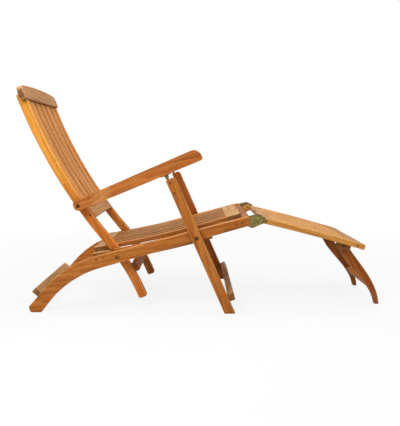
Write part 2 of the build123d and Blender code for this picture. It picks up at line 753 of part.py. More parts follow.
# Blocks under the footrest slats take the folding legs' bolts
block_lane = foot_leg_lane + foot_leg_thick + stop_gap
with BuildPart() as footrest_leg_blocks:
    for side in sides:
        with BuildSketch(side_plane(side, block_lane, block_thick)):
            with BuildLine():
                block_runs = (foot_leg_run - block_half_length, foot_leg_run + block_half_length)
                block_top = slat_low - seat_seam
                outline_block(footrest_path, *block_runs, block_top - block_depth, block_top)
            make_face()
            with Locations(foot_leg_pivot):
                Circle(pivot_bolt_radius, mode=Mode.SUBTRACT)
        extrude(amount=block_thick)
save(footrest_leg_blocks.part, "footrest_leg_blocks")

with BuildPart() as footrest_leg_bolts:
    cross_bolts(foot_leg_pivot, block_lane + block_thick, foot_leg_lane - stop_gap, foot_leg_lane - stop_gap)
save(footrest_leg_bolts.part, "footrest_leg_bolts")

# Sabre-curved footrest legs and their stretcher
head_angle = radians(foot_leg_head_turn)
head_sides = Vector(cos(head_angle), sin(head_angle)) * foot_leg_head_radius
head_top = Vector(-sin(head_angle), cos(head_angle)) * foot_leg_head_radius
for side in sides:
    with BuildPart() as footrest_leg:
        with BuildSketch(side_plane(side, foot_leg_lane, foot_leg_thick)):
            with BuildLine():
                centre = Vector(*foot_leg_pivot)
                head = ThreePointArc(centre + head_sides, centre + head_top, centre - head_sides)
                rear = Spline(head @ 1, *foot_leg_rear)
                front = Spline(head @ 0, *foot_leg_front)
                Line(rear @ 1, front @ 1)
            make_face()
            with Locations(foot_leg_pivot):
                Circle(pivot_bolt_radius + fit_gap, mode=Mode.SUBTRACT)
        extrude(amount=foot_leg_thick)
        fillet(side_edges(footrest_leg).sort_by(SortBy.LENGTH)[-4:], panel_round)
    save(footrest_leg.part, f"footrest_leg_{side}")

with BuildPart() as footrest_leg_stretcher:
    with BuildSketch(Plane.XZ.offset(-foot_leg_lane)):
        with Locations(Location(foot_stretcher_middle, foot_stretcher_lean)):
            RectangleRounded(*foot_stretcher_size, panel_round)
    extrude(amount=2 * foot_leg_lane)
save(footrest_leg_stretcher.part, "footrest_leg_stretcher")
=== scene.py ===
import math
import random

import bmesh
import bpy
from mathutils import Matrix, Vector
from mathutils.bvhtree import BVHTree


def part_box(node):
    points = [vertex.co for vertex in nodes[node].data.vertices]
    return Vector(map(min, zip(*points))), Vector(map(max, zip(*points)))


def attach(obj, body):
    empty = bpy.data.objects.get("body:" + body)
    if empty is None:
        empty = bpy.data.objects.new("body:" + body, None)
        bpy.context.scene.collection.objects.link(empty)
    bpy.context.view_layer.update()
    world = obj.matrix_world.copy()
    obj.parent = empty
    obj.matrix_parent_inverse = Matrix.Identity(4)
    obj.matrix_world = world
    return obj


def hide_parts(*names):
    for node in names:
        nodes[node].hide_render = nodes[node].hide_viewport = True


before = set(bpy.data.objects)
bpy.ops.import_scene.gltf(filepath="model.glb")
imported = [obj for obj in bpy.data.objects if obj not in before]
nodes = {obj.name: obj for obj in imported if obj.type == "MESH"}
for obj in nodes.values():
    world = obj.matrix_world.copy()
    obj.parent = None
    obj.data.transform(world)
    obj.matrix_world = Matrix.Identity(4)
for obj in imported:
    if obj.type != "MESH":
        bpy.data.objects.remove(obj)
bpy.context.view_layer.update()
scene = bpy.context.scene
scene.view_settings.view_transform = "Standard"
print("frame loaded:", len(nodes), "nodes")


# short ways to build a shader or a node tree
def feed(tree, socket, value):
    if isinstance(value, bpy.types.NodeSocket):
        tree.links.new(value, socket)
    else:
        socket.default_value = value


def addNode(tree, kind, sockets=None, **settings):
    node = tree.nodes.new(kind)
    for key, value in settings.items():
        setattr(node, key, value)
    for key, value in (sockets or {}).items():
        feed(tree, node.inputs[key], value)
    return node


def newMaterial(name):
    material = bpy.data.materials.new(name)
    material.use_nodes = True
    material.node_tree.nodes.clear()
    return material, material.node_tree


def sums(tree, operation, *values, clamp=False):
    node = addNode(tree, "ShaderNodeMath", operation=operation, use_clamp=clamp)
    for socket, value in zip(node.inputs, values):
        feed(tree, socket, value)
    return node.outputs[0]


def ramp(tree, factor, stops):
    node = addNode(tree, "ShaderNodeValToRGB", {"Fac": factor})
    points = node.color_ramp.elements
    while len(points) < len(stops):
        points.new(0.5)
    for point, (place, shade) in zip(points, stops):
        point.position = place
        point.color = (*shade, 1)
    return node.outputs["Color"]


# masks that go from nothing to all of a finish between two places, or back
def rising(tree, factor, places, most=1.0):
    return ramp(tree, factor, [(places[0], (0, 0, 0)), (places[1], (most, most, most))])


def falling(tree, factor, places):
    return ramp(tree, factor, [(places[0], (1, 1, 1)), (places[1], (0, 0, 0))])


colourMix = {"factor": 0, "first": 6, "second": 7, "result": 2}  # the Mix node's sockets for colours


def mixColour(tree, blend, factor, first, second):
    node = addNode(tree, "ShaderNodeMix", data_type="RGBA", blend_type=blend)
    feed(tree, node.inputs[colourMix["factor"]], factor)
    feed(tree, node.inputs[colourMix["first"]], first)
    feed(tree, node.inputs[colourMix["second"]], second)
    return node.outputs[colourMix["result"]]


def tinted(tree, blend, mask, share, colour, tint):
    return mixColour(tree, blend, sums(tree, "MULTIPLY", mask, share), colour, (*tint, 1))


# teak: one colour set for each cut of wood, and how much painted shade darkens the sides of the gaps between
# slats
teakCuts = {
    "rail": {"dark": (0.25, 0.068, 0.010), "mid": (0.435, 0.134, 0.018), "light": (0.57, 0.22, 0.044)},
    "stile": {"dark": (0.50, 0.172, 0.017), "mid": (0.70, 0.278, 0.034), "light": (0.84, 0.40, 0.072),
              "low": {"from": 0.62, "to": 0.40, "tint": (0.80, 0.58, 0.56)}},
    # the arm's top colour is painted light from above and painted sheen
    "arm": {"dark": (0.25, 0.063, 0.010), "mid": (0.425, 0.124, 0.019), "light": (0.56, 0.20, 0.046),
            "top": (0.36, 0.165, 0.060)},
    "backSlat": {"dark": (0.29, 0.096, 0.015), "mid": (0.51, 0.194, 0.033), "light": (0.67, 0.305, 0.070),
                 "gapShade": 0.55},
    "seatSlat": {"dark": (0.155, 0.055, 0.008), "mid": (0.295, 0.113, 0.018), "light": (0.42, 0.182, 0.038),
                 "gapShade": 0.92},
    # a lit copy of the seat slat colour for the two outer slats, painted light on their outer sides
    "seatEdgeLit": {"dark": (0.22, 0.070, 0.011), "mid": (0.38, 0.130, 0.022), "light": (0.50, 0.205, 0.046)},
    "footSlat": {"dark": (0.30, 0.112, 0.020), "mid": (0.53, 0.225, 0.046), "light": (0.68, 0.34, 0.095),
                 "gapShade": 0.92},
    "footRail": {"dark": (0.33, 0.112, 0.015), "mid": (0.51, 0.200, 0.032), "light": (0.64, 0.30, 0.065)},
    # a darker cut as painted shade for the legs under the footrest and the far front leg
    "shadedLeg": {"dark": (0.15, 0.034, 0.004), "mid": (0.29, 0.070, 0.008), "light": (0.41, 0.125, 0.020)},
    "pale": {"dark": (0.34, 0.155, 0.045), "mid": (0.52, 0.265, 0.090), "light": (0.64, 0.37, 0.150)},
    "board": {"dark": (0.22, 0.088, 0.026), "mid": (0.38, 0.178, 0.060), "light": (0.52, 0.275, 0.115)},
    # the shade cut is painted shade: a dark copy of the wood for bearers and blocks that sit in shadow under
    # the seat and footrest
    "shade": {"dark": (0.13, 0.043, 0.007), "mid": (0.24, 0.081, 0.013), "light": (0.36, 0.14, 0.030)},
}
teakLook = {
    "drift": (0.37, 0.193, 0.271),  # how far each piece is cut from the last in the log
    "streaks": {  # repeats along and across the grain, detail, roughness, distortion
        "broad": (1.3, 9, 2, 0.5, 0.0), "figure": (3.2, 46, 4, 0.62, 0.5),
        "fine": (9, 260, 3, 0.6, 0.0), "pores": (26, 900, 2, 0.55, 0.0)},
    "shares": {"figure": 0.50, "fine": 0.30, "broad": 0.20},
    "rings": {"Scale": 26.0, "Distortion": 5.5, "Detail": 3.0, "Detail Scale": 1.6, "Detail Roughness": 0.55},
    "ringStretch": (0.10, 0.8, 1.0), "ringMiddle": 0.5, "ringShare": 0.16,
    "tones": {"dark": 0.32, "mid": 0.50, "light": 0.68},
    "pores": {"places": (0.30, 0.40), "share": 0.55, "tint": (0.42, 0.33, 0.26)},
    "ends": {"places": (0.72, 0.93), "share": 0.85, "tint": (0.42, 0.34, 0.29)},
    # painted shade on the sides of the gaps between slats
    "gapShade": {"places": (0.6, 0.95), "tint": (0.34, 0.27, 0.20)},
    "tops": {"places": (0.45, 0.80), "share": 0.7},
    # painted shade from ambient occlusion in the joints, corners and gaps
    "occlusionShade": {"reach": 0.03, "samples": 6, "places": (0.25, 0.80), "share": 0.75, "tint": (0.40, 0.30, 0.22)},
    "wear": {"edge": 0.0022, "samples": 4, "places": (0.86, 0.99), "roundPlaces": (0.22, 0.46), "share": 0.34,
             "tint": (0.55, 0.33, 0.13)},
    "rough": {"From Min": 0.6, "From Max": 1.4, "To Min": 0.66, "To Max": 0.48}, "sheen": 0.16,
    "relief": {"Strength": 0.32, "Distance": 0.0006}, "fineHeight": 0.5, "poreDepth": 0.35,
}


def teak(name, cut, grain, seed, shade):
    tones, look = teakCuts[cut], teakLook
    material, tree = newMaterial(name)
    coords = addNode(tree, "ShaderNodeTexCoord")
    turn = (0, 0, -math.pi / 2) if grain == "across" else (0, math.radians(grain), 0)
    along = addNode(tree, "ShaderNodeMapping", {"Vector": coords.outputs["Object"], "Rotation": turn,
                                                "Location": [part * seed for part in look["drift"]]})
    streak = {}
    for key, (run, cross, detail, roughness, distortion) in look["streaks"].items():
        stretch = (run, cross, cross)
        scaled = addNode(tree, "ShaderNodeMapping", {"Vector": along.outputs[0], "Scale": stretch})
        noise = addNode(tree, "ShaderNodeTexNoise", {"Vector": scaled.outputs[0], "Scale": 1.0,
                                                     "Detail": detail, "Roughness": roughness,
                                                     "Distortion": distortion})
        streak[key] = noise.outputs["Fac"]
    ringed = addNode(tree, "ShaderNodeMapping", {"Vector": along.outputs[0], "Scale": look["ringStretch"]})
    rings = addNode(tree, "ShaderNodeTexWave", {"Vector": ringed.outputs[0], **look["rings"]},
                    wave_type="BANDS", bands_direction="DIAGONAL", wave_profile="SAW")
    mixed = sums(tree, "SUBTRACT", rings.outputs["Fac"], look["ringMiddle"])
    mixed = sums(tree, "MULTIPLY", mixed, look["ringShare"])
    for key, share in look["shares"].items():
        mixed = sums(tree, "MULTIPLY_ADD", streak[key], share, mixed)
    colour = ramp(tree, mixed, [(place, [part * shade for part in tones[key]])
                                for key, place in look["tones"].items()])
    pores = look["pores"]
    poreMask = falling(tree, streak["pores"], pores["places"])
    colour = tinted(tree, "MULTIPLY", poreMask, pores["share"], colour, pores["tint"])

    # sawn ends run darker than the long faces, and the sides of the gaps between slats are darkened with
    # painted shade
    ends, gapShade, tops = look["ends"], look["gapShade"], look["tops"]
    facing = addNode(tree, "ShaderNodeMapping", {"Vector": coords.outputs["Normal"], "Rotation": turn},
                     vector_type="VECTOR")
    grainFacing = addNode(tree, "ShaderNodeSeparateXYZ", {"Vector": facing.outputs[0]})
    endMask = rising(tree, sums(tree, "ABSOLUTE", grainFacing.outputs["X"]), ends["places"])
    colour = tinted(tree, "MULTIPLY", endMask, ends["share"], colour, ends["tint"])
    chairFacing = addNode(tree, "ShaderNodeSeparateXYZ", {"Vector": coords.outputs["Normal"]})
    sideways = sums(tree, "ABSOLUTE", chairFacing.outputs["Y"])
    if "gapShade" in tones:
        gapShadeMask = rising(tree, sideways, gapShade["places"])
        colour = tinted(tree, "MULTIPLY", gapShadeMask, tones["gapShade"], colour, gapShade["tint"])
    # upward faces are painted paler and greyer, as painted light from above and painted sheen
    if "top" in tones:
        topLightMask = rising(tree, chairFacing.outputs["Z"], tops["places"], tops["share"])
        colour = mixColour(tree, "MIX", topLightMask, colour, (*tones["top"], 1))
    # the stile is painted darker towards the bottom, as painted shade below the arm and the seat
    if "low" in tones:
        low = tones["low"]
        place = addNode(tree, "ShaderNodeSeparateXYZ", {"Vector": coords.outputs["Object"]})
        lowShadeMask = addNode(tree, "ShaderNodeMapRange", {"Value": place.outputs["Z"], "From Min": low["from"],
                                                      "From Max": low["to"]})
        colour = mixColour(tree, "MULTIPLY", lowShadeMask.outputs[0], colour, (*low["tint"], 1))

    # ambient occlusion paints shade into the joints, corners and gaps; eased edges are painted paler, partly
    # as wear and partly as a painted highlight
    occlusionShade, wear = look["occlusionShade"], look["wear"]
    occlusion = addNode(tree, "ShaderNodeAmbientOcclusion", {"Distance": occlusionShade["reach"]}, samples=occlusionShade["samples"])
    occlusionShadeMask = falling(tree, occlusion.outputs["AO"], occlusionShade["places"])
    colour = tinted(tree, "MULTIPLY", occlusionShadeMask, occlusionShade["share"], colour, occlusionShade["tint"])
    # eased edges go paler: partly wear, partly a painted highlight
    eased = addNode(tree, "ShaderNodeBevel", {"Radius": wear["edge"]}, samples=wear["samples"])
    plain = addNode(tree, "ShaderNodeNewGeometry")
    spread = addNode(tree, "ShaderNodeVectorMath", {0: eased.outputs[0], 1: plain.outputs["Normal"]},
                     operation="DOT_PRODUCT")
    wearAndHighlight = falling(tree, spread.outputs["Value"], wear["places"])
    # rounded edges, half side and half upright, also get a painted highlight
    upright = sums(tree, "SQRT", sums(tree, "SUBTRACT", 1, sums(tree, "POWER", sideways, 2), clamp=True))
    rounded = sums(tree, "MULTIPLY", sideways, upright)
    wearAndHighlight = sums(tree, "MAXIMUM", wearAndHighlight, rising(tree, rounded, wear["roundPlaces"]))
    colour = tinted(tree, "SCREEN", wearAndHighlight, wear["share"], colour, wear["tint"])

    streaked = sums(tree, "ADD", streak["figure"], streak["fine"])
    rough = addNode(tree, "ShaderNodeMapRange", {"Value": streaked, **look["rough"]})
    height = sums(tree, "SUBTRACT", sums(tree, "MULTIPLY", streak["fine"], look["fineHeight"]),
                  sums(tree, "MULTIPLY", poreMask, look["poreDepth"]))
    bump = addNode(tree, "ShaderNodeBump", {**look["relief"], "Height": height, "Normal": eased.outputs[0]})
    shader = addNode(tree, "ShaderNodeBsdfPrincipled", {"Base Color": colour, "Roughness": rough.outputs[0],
                                                       "Normal": bump.outputs[0],
                                                       "Specular IOR Level": look["sheen"]})
    addNode(tree, "ShaderNodeOutputMaterial", {"Surface": shader.outputs[0]})
    return material


# brass gone dull out of doors, in blotches and specks
brassWear = {"drift": (1, 0.4, 0.7), "firstSeed": 0.6, "seedStep": 1.7,
             "cloud": {"Scale": 70.0, "Detail": 5.0, "Roughness": 0.62},
             "speck": {"Scale": 520.0, "Detail": 2.0, "Roughness": 0.5},
             "cloudShare": 0.75, "speckShare": 0.25, "places": (0.38, 0.62), "dullBy": 0.18,
             "edge": 0.0008, "samples": 4, "relief": {"Strength": 0.25, "Distance": 0.0004}}


def brass(name, look, seed):
    wear = brassWear
    material, tree = newMaterial(name)
    coords = addNode(tree, "ShaderNodeTexCoord")
    placed = addNode(tree, "ShaderNodeMapping", {"Vector": coords.outputs["Object"],
                                                 "Location": [part * seed for part in wear["drift"]]})
    cloud = addNode(tree, "ShaderNodeTexNoise", {"Vector": placed.outputs[0], **wear["cloud"]})
    speck = addNode(tree, "ShaderNodeTexNoise", {"Vector": placed.outputs[0], **wear["speck"]})
    specks = sums(tree, "MULTIPLY", speck.outputs["Fac"], wear["speckShare"])
    patch = sums(tree, "MULTIPLY_ADD", cloud.outputs["Fac"], wear["cloudShare"], specks)
    blotch = rising(tree, patch, wear["places"])
    colour = mixColour(tree, "MIX", blotch, (*look["tarnish"], 1), (*look["clean"], 1))
    eased = addNode(tree, "ShaderNodeBevel", {"Radius": wear["edge"]}, samples=wear["samples"])
    bump = addNode(tree, "ShaderNodeBump", {**wear["relief"], "Height": speck.outputs["Fac"],
                                           "Normal": eased.outputs[0]})
    dull = look["roughness"] + wear["dullBy"]
    rough = addNode(tree, "ShaderNodeMapRange", {"Value": blotch, "To Min": dull, "To Max": look["roughness"]})
    shader = addNode(tree, "ShaderNodeBsdfPrincipled", {"Base Color": colour, "Metallic": 1.0,
                                                       "Roughness": rough.outputs[0],
                                                       "Normal": bump.outputs[0]})
    addNode(tree, "ShaderNodeOutputMaterial", {"Surface": shader.outputs[0]})
    return material


# each wooden piece's cut, and the way its grain runs: degrees up from the foot end, or across the chair
woodPieces = {
    "side_rail": ("rail", 14.7), "seat_ledger": ("rail", 13.4), "rear_stretcher": ("pale", "across"),
    "back_stop_rail": ("pale", "across"), "seat_middle_bearer": ("shade", "across"),
    "seat_front_bearer": ("shade", "across"), "seat_rear_board": ("pale", "across"),
    "seat_front_board": ("pale", "across"), "seat_slat": ("seatSlat", 13.4), "back_stile": ("stile", -60.4),
    "headrest_board": ("board", "across"), "back_slat": ("backSlat", -63.5),
    "back_lower_board": ("board", "across"), "back_lower_stretcher": ("rail", "across"),
    "front_leg_stretcher": ("board", "across"), "front_leg": ("rail", 112.8), "armrest": ("arm", 22.5),
    "footrest_leg_stretcher": ("rail", "across"), "footrest_leg_blocks": ("shade", -15.4),
    "footrest_leg": ("shadedLeg", -58.5), "footrest_rail": ("footRail", -15.4),
    "footrest_rear_board": ("board", "across"), "footrest_end_rail": ("board", "across"),
    "footrest_slat": ("footSlat", -15.4),
}
# boards are never quite one colour: the spread between pieces, and the pieces that stand out most; among
# these, the far legs are darker as painted shade, and the inner faces of the far rail and far stile are
# lighter as painted light
boardLook = {
    "seed": 11, "spread": 0.07,
    "litAndShadedCuts": {"front_leg_left": "shadedLeg", "back_stile_left": "rail",
             "seat_slat_1": "seatEdgeLit", "seat_slat_7": "seatEdgeLit"},
    "tonesAndLight": {"back_stile_left": 1.2, "front_leg_left": 1.05, "side_rail_left": 1.4, "side_rail_right": 0.94,
               "headrest_board": 1.05, "seat_front_board": 0.82, "footrest_rail_right": 0.94,
               "footrest_leg_left": 0.84, "footrest_leg_right": 1.0},
}
brassLooks = {
    "plates": {"clean": (0.27, 0.212, 0.074), "tarnish": (0.12, 0.100, 0.034), "roughness": 0.40,
               "nodes": ["footrest_plate_right", "footrest_plate_left", "arm_hinge_brackets",
                         "leg_hinge_tongues"]},
    # the bolts' brass is partly tarnish and partly painted shade, darkened for the heads sunk in recesses and
    # under the footrest
    "bolts": {"clean": (0.15, 0.072, 0.024), "tarnish": (0.056, 0.027, 0.010), "roughness": 0.46,
              "nodes": ["leg_tongue_pins", "arm_hinge_pins", "arm_bolt_inserts"]},
    "screws": {"clean": (0.32, 0.145, 0.040), "tarnish": (0.130, 0.055, 0.016), "roughness": 0.44,
               "nodes": []},
}


def dress(node, material):
    slots = nodes[node].data.materials
    slots.clear()
    slots.append(material)


draws = random.Random(boardLook["seed"])
brassNodes = [node for look in brassLooks.values() for node in look["nodes"]]
boards = 0
for node in sorted(nodes):
    stems = [stem for stem in woodPieces if node.startswith(stem)]
    if not stems or node in brassNodes or node.endswith(("_bolts", "_screws")):
        continue
    cut, grain = woodPieces[max(stems, key=len)]
    cut = boardLook["litAndShadedCuts"].get(node, cut)
    shade = boardLook["tonesAndLight"].get(node, 1 + boardLook["spread"] * draws.uniform(-1, 1))
    boards += 1
    dress(node, teak("teak." + node, cut, grain, boards, shade))
brasses = {}
for number, (group, look) in enumerate(brassLooks.items()):
    brasses[group] = brass("brass." + group, look, brassWear["seedStep"] * number + brassWear["firstSeed"])
    for node in look["nodes"]:
        dress(node, brasses[group])
print("wood and brass laid on:", boards, "wooden pieces")

# bolt heads, nuts, washers, screws, rivets and plugs are all turned from one tree
headInputs = {"Facets": "Int", "Shank radius": "Float", "Shank length": "Float", "Taper": "Float",
              "Head radius": "Float", "Rim": "Float", "Rise": "Float", "Slot width": "Float",
              "Slot depth": "Float", "Slotted": "Bool", "Seed": "Int", "Material": "Material"}
headShape = {"dome": ((0.50, 0.93), (0.32, 0.80), (0.18, 0.55)),  # share of the rise, and of the width below
             "slotReach": 4, "weld": 1e-6, "sharpFrom": 0.55}


def turnedHeads():
    tree = bpy.data.node_groups.new("turnedHeads", "GeometryNodeTree")
    tree.is_modifier = True
    tree.interface.new_socket("Points", in_out="INPUT", socket_type="NodeSocketGeometry")
    for label, kind in headInputs.items():
        tree.interface.new_socket(label, in_out="INPUT", socket_type="NodeSocket" + kind)
    tree.interface.new_socket("Heads", in_out="OUTPUT", socket_type="NodeSocketGeometry")
    given = addNode(tree, "NodeGroupInput").outputs

    def raised(mesh, height):
        lift = addNode(tree, "ShaderNodeCombineXYZ", {"Z": height})
        moved = addNode(tree, "GeometryNodeTransform", {"Geometry": mesh, "Translation": lift.outputs[0]})
        return moved.outputs[0]

    def drawn(mesh, top, height, size):
        pulled = addNode(tree, "GeometryNodeExtrudeMesh", {"Mesh": mesh, "Selection": top,
                                                           "Offset Scale": height, "Individual": False},
                         mode="FACES").outputs
        scaled = addNode(tree, "GeometryNodeScaleElements", {"Geometry": pulled["Mesh"], "Scale": size,
                                                             "Selection": pulled["Top"]}, domain="FACE")
        return scaled.outputs[0], pulled["Top"]

    # the shank, the flare of the head, its rim and its dome
    disc = addNode(tree, "GeometryNodeMeshCircle", {"Vertices": given["Facets"],
                                                    "Radius": given["Shank radius"]}, fill_type="NGON")
    foot = raised(disc.outputs[0], sums(tree, "MULTIPLY", given["Shank length"], -1))
    flare = sums(tree, "DIVIDE", given["Head radius"], given["Shank radius"])
    body, top = drawn(foot, True, sums(tree, "SUBTRACT", given["Shank length"], given["Taper"]), 1)
    body, top = drawn(body, top, given["Taper"], flare)
    body, top = drawn(body, top, given["Rim"], 1)
    for share, size in headShape["dome"]:
        body, top = drawn(body, top, sums(tree, "MULTIPLY", given["Rise"], share), size)
    closed = addNode(tree, "GeometryNodeJoinGeometry")
    underside = addNode(tree, "GeometryNodeFlipFaces", {"Mesh": foot})
    for part in (underside.outputs[0], body):
        tree.links.new(part, closed.inputs[0])
    whole = addNode(tree, "GeometryNodeMergeByDistance", {"Geometry": closed.outputs[0],
                                                          "Distance": headShape["weld"]})

    # the slot is cut right across, where there is one
    slotLength = sums(tree, "MULTIPLY", given["Head radius"], headShape["slotReach"])
    slotHeight = sums(tree, "MULTIPLY", given["Slot depth"], 2)
    slotSize = addNode(tree, "ShaderNodeCombineXYZ", {"X": slotLength, "Y": given["Slot width"],
                                                      "Z": slotHeight})
    cutter = addNode(tree, "GeometryNodeMeshCube", {"Size": slotSize.outputs[0]})
    cutter = raised(cutter.outputs[0], sums(tree, "ADD", given["Rim"], given["Rise"]))
    slotted = addNode(tree, "GeometryNodeMeshBoolean", {0: whole.outputs[0], 1: cutter},
                      operation="DIFFERENCE")
    picked = addNode(tree, "GeometryNodeSwitch", {"Switch": given["Slotted"], "False": whole.outputs[0],
                                                  "True": slotted.outputs[0]}, input_type="GEOMETRY")
    smooth = addNode(tree, "GeometryNodeSetShadeSmooth", {0: picked.outputs[0], "Shade Smooth": True},
                     domain="FACE")
    corner = addNode(tree, "GeometryNodeInputMeshEdgeAngle")
    sharp = addNode(tree, "FunctionNodeCompare", {0: corner.outputs["Unsigned Angle"],
                                                  1: headShape["sharpFrom"]}, operation="GREATER_THAN")
    crisp = addNode(tree, "GeometryNodeSetShadeSmooth", {0: smooth.outputs[0], "Selection": sharp.outputs[0],
                                                         "Shade Smooth": False}, domain="EDGE")

    # each head faces out of its hole, turned by chance
    facing = addNode(tree, "GeometryNodeInputNamedAttribute", {"Name": "facing"}, data_type="FLOAT_VECTOR")
    upright = addNode(tree, "FunctionNodeAlignRotationToVector", {"Vector": facing.outputs[0]}, axis="Z")
    chance = addNode(tree, "FunctionNodeRandomValue", {2: 0.0, 3: 2 * math.pi, "Seed": given["Seed"]},
                     data_type="FLOAT")
    spin = addNode(tree, "FunctionNodeAxisAngleToRotation", {"Axis": (0, 0, 1), "Angle": chance.outputs[1]})
    turned = addNode(tree, "FunctionNodeRotateRotation", {0: upright.outputs[0], 1: spin.outputs[0]},
                     rotation_space="LOCAL")
    placed = addNode(tree, "GeometryNodeInstanceOnPoints", {"Points": given["Points"],
                                                            "Instance": crisp.outputs[0],
                                                            "Rotation": turned.outputs[0]})
    real = addNode(tree, "GeometryNodeRealizeInstances", {0: placed.outputs[0]})
    made = addNode(tree, "GeometryNodeSetMaterial", {"Geometry": real.outputs[0],
                                                     "Material": given["Material"]})
    addNode(tree, "NodeGroupOutput", {0: made.outputs[0]})
    return tree


headTree = turnedHeads()


def turnOut(name, places, values):
    points = bpy.data.meshes.new(name + "Points")
    points.from_pydata([tuple(place) for place, facing in places], [], [])
    ways = points.attributes.new("facing", "FLOAT_VECTOR", "POINT")
    ways.data.foreach_set("vector", [part for place, facing in places for part in facing])
    holder = bpy.data.objects.new(name + "Points", points)
    scene.collection.objects.link(holder)
    modifier = holder.modifiers.new("turned", "NODES")
    modifier.node_group = headTree
    for socket in headTree.interface.items_tree:
        if socket.in_out == "INPUT" and socket.name in values:
            modifier[socket.identifier] = values[socket.name]
    graph = bpy.context.evaluated_depsgraph_get()
    mesh = bpy.data.meshes.new_from_object(holder.evaluated_get(graph), depsgraph=graph)
    bpy.data.objects.remove(holder)
    return mesh


# several turned kinds go into one plain mesh for each body
def fitPiece(name, meshes, body, slot, *replaced):
    joined = bmesh.new()
    for mesh in meshes:
        joined.from_mesh(mesh)
    for face in joined.faces:
        face.material_index = 0
    whole = bpy.data.meshes.new(name)
    joined.to_mesh(whole)
    joined.free()
    whole.materials.append(meshes[0].materials[-1])
    piece = bpy.data.objects.new(name, whole)
    scene.collection.objects.link(piece)
    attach(piece, body)
    if replaced:
        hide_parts(*replaced)
    print("fitted", name, len(whole.polygons), "faces")


# the middles of a piece's larger flat faces, and the ways they face
faceLook = {"weld": 1e-6, "flatWithin": 0.01}


def flatFaces(node, least):
    faces = bmesh.new()
    faces.from_mesh(nodes[node].data)
    bmesh.ops.remove_doubles(faces, verts=faces.verts, dist=faceLook["weld"])
    bmesh.ops.dissolve_limit(faces, angle_limit=faceLook["flatWithin"], verts=faces.verts, edges=faces.edges)
    spots = [(face.calc_center_bounds(), face.normal.copy()) for face in faces.faces
             if face.calc_area() > least]
    faces.free()
    return spots


boltLook = {"least": 1.8e-4, "headHeight": 0.003, "nutHeight": 0.006, "shortBy": 1e-4, "washerLift": 0.0003}
boltHead = {"Facets": 28, "Shank radius": 0.0039, "Taper": 1e-5, "Head radius": 0.0078, "Rim": 0.0009,
            "Rise": 0.0020, "Slot width": 0.001, "Slot depth": 0.001, "Slotted": False, "Seed": 3,
            "Material": brasses["bolts"]}
boltNut = {**boltHead, "Facets": 6, "Shank radius": 0.0066, "Shank length": 0.0006, "Taper": 0.0005,
           "Head radius": 0.0075, "Rim": 0.0044, "Rise": 0.0008, "Seed": 5}
boltWasher = {**boltHead, "Shank radius": 0.0098, "Shank length": 0.0003, "Taper": 0.0002,
              "Head radius": 0.0100, "Rim": 0.0004, "Rise": 0.0002, "Seed": 7}
boltPieces = {  # body, brass, and whether there are washers
    "back_pivot_bolts": ("seat_frame", "screws", True), "leg_pivot_bolts": ("seat_frame", "bolts", False),
    "footrest_pivot_pins": ("seat_frame", "plates", False), "arm_bolts": ("arms", "bolts", False),
    "footrest_leg_bolts": ("footrest", "bolts", False),
}
for node, (body, metal, washers) in boltPieces.items():
    inmost = min(abs(corner.co.y) for corner in nodes[node].data.vertices)
    heads, nuts = [], []
    for centre, facing in flatFaces(node, boltLook["least"]):
        outward = facing.y * centre.y > 0
        height = boltLook["headHeight"] if outward else boltLook["nutHeight"] - boltNut["Shank length"]
        (heads if outward else nuts).append((centre - height * facing, facing))
    length = abs(heads[0][0].y) - inmost - boltLook["shortBy"]
    meshes = [turnOut(node, heads, {**boltHead, "Shank length": length, "Material": brasses[metal]})]
    if nuts:
        meshes.append(turnOut(node, nuts, boltNut))
    if washers:
        lifted = [(place + boltLook["washerLift"] * facing, facing) for place, facing in heads]
        meshes.append(turnOut(node, lifted, boltWasher))
    fitPiece(node + ".turned", meshes, body, "brass_bolts", node)

screwLook = {"least": 4.5e-5, "sunk": 2e-4, "shortBy": 5e-4}
screwHead = {"Facets": 24, "Shank radius": 0.0019, "Taper": 0.0024, "Head radius": 0.0039, "Rim": 5e-5,
             "Rise": 1.5e-4, "Slot width": 0.0009, "Slot depth": 0.0010, "Slotted": True, "Seed": 13,
             "Material": brasses["screws"]}
screwPieces = {"seat_screws": ("seat_frame", 0.032), "plate_screws": ("seat_frame", 0.020),
               "headrest_screws": ("backrest", 0.036)}
for node, (body, length) in screwPieces.items():
    spots = [(centre - screwLook["sunk"] * facing, facing)
             for centre, facing in flatFaces(node, screwLook["least"])]
    screws = turnOut(node, spots, {**screwHead, "Shank length": length - screwLook["shortBy"]})
    fitPiece(node + ".slotted", [screws], body, "brass_bolts", node)


# where a line drawn straight at a piece first meets it
def metAt(node, start, way):
    mesh = nodes[node].data
    corners = [corner.co for corner in mesh.vertices]
    tree = BVHTree.FromPolygons(corners, [tuple(face.vertices) for face in mesh.polygons])
    place, facing, *rest = tree.ray_cast(Vector(start), Vector(way))
    return place, facing


# wooden plugs over the buried fixings: spots along and up each side, or along and across the arms' tops
plugLook = {"beside": 0.4, "above": 0.9, "shade": 0.84, "boardShares": (0.3, 0.7)}
plugHead = {"Facets": 20, "Shank radius": 0.0046, "Shank length": 0.004, "Taper": 0.0004,
            "Head radius": 0.0050, "Rim": 5e-5, "Rise": 1.5e-4, "Slot width": 0.001, "Slot depth": 0.001,
            "Slotted": False, "Seed": 17}
lowBoard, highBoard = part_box("back_lower_board")
boardSpots = [(highBoard[0] + share * (lowBoard[0] - highBoard[0]),
               lowBoard[2] + share * (highBoard[2] - lowBoard[2])) for share in plugLook["boardShares"]]
plugSpots = {
    "seat_frame": ("rail", "side_rail", [(-0.455, 0.226), (-0.425, 0.234), (0.125, 0.372), (0.150, 0.379),
                                         (-0.6985, 0.0656)]),
    "backrest": ("stile", "back_stile", boardSpots),
    "arms": ("arm", "armrest", [(-0.174, 0.271), (-0.142, 0.271)]),
    "footrest": ("footRail", "footrest_rail", [(0.254, 0.380), (0.640, 0.277)]),
    "footrest_legs": ("shadedLeg", "footrest_leg", [(0.727, 0.084)]),
}
